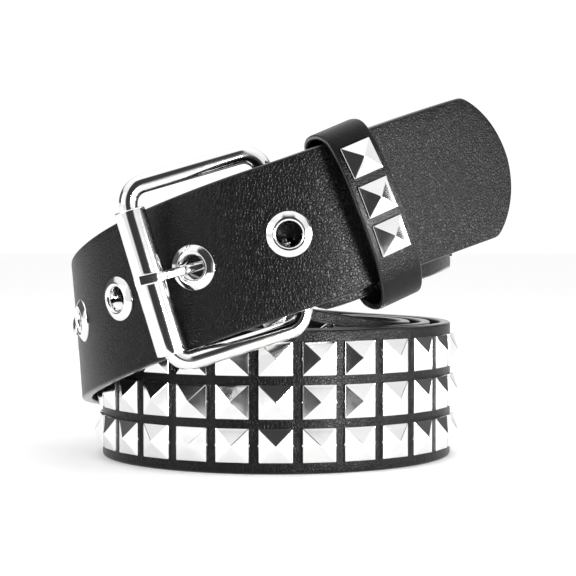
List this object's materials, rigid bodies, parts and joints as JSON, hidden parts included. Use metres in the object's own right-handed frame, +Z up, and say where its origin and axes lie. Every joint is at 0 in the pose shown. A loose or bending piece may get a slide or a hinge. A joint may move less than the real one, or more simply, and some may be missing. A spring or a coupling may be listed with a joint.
{
  "type": "belt",
  "caption": "Black leather belt with pyramid studs, eyelets, a roller buckle and a studded keeper, fastened and coiled.",
  "frame": {"origin": "on the surface that the coil stands on, under the middle of the belt's box", "axes": "+Z up out of the coil, -Y towards the front with the prong side of the buckle, +X towards the tip's end"},
  "size_m": [0.1274, 0.138, 0.104],
  "materials": {
    "leather": "fine pebbled grain, soft sheen",
    "keeper_leather": "smooth, soft sheen",
    "studs": "polished",
    "eyelets": "polished",
    "buckle": "polished"
  },
  "bodies": {
    "root": {"strap": "leather", "keeper_loop": "keeper_leather", "buckle_frame": "buckle", "roller": "buckle", "prong": "buckle", "stud_1_1": "studs", "stud_1_2": "studs", "stud_1_3": "studs", "stud_2_1": "studs", "stud_2_2": "studs", "stud_2_3": "studs", "stud_3_1": "studs", "stud_3_2": "studs", "stud_3_3": "studs", "stud_4_1": "studs", "stud_4_2": "studs", "stud_4_3": "studs", "stud_5_1": "studs", "stud_5_2": "studs", "stud_5_3": "studs", "stud_6_1": "studs", "stud_6_2": "studs", "stud_6_3": "studs", "stud_7_1": "studs", "stud_7_2": "studs", "stud_7_3": "studs", "stud_8_1": "studs", "stud_8_2": "studs", "stud_8_3": "studs", "stud_9_1": "studs", "stud_9_2": "studs", "stud_9_3": "studs", "stud_10_1": "studs", "stud_10_2": "studs", "stud_10_3": "studs", "stud_11_1": "studs", "stud_11_2": "studs", "stud_11_3": "studs", "stud_12_1": "studs", "stud_12_2": "studs", "stud_12_3": "studs", "stud_13_1": "studs", "stud_13_2": "studs", "stud_13_3": "studs", "keeper_stud_1": "studs", "keeper_stud_2": "studs", "keeper_stud_3": "studs", "eyelet_1": "eyelets", "eyelet_2": "eyelets", "eyelet_3": "eyelets", "eyelet_4": "eyelets", "eyelet_5": "eyelets", "eyelet_6": "eyelets", "eyelet_7": "eyelets"}
  },
  "joints": []
}
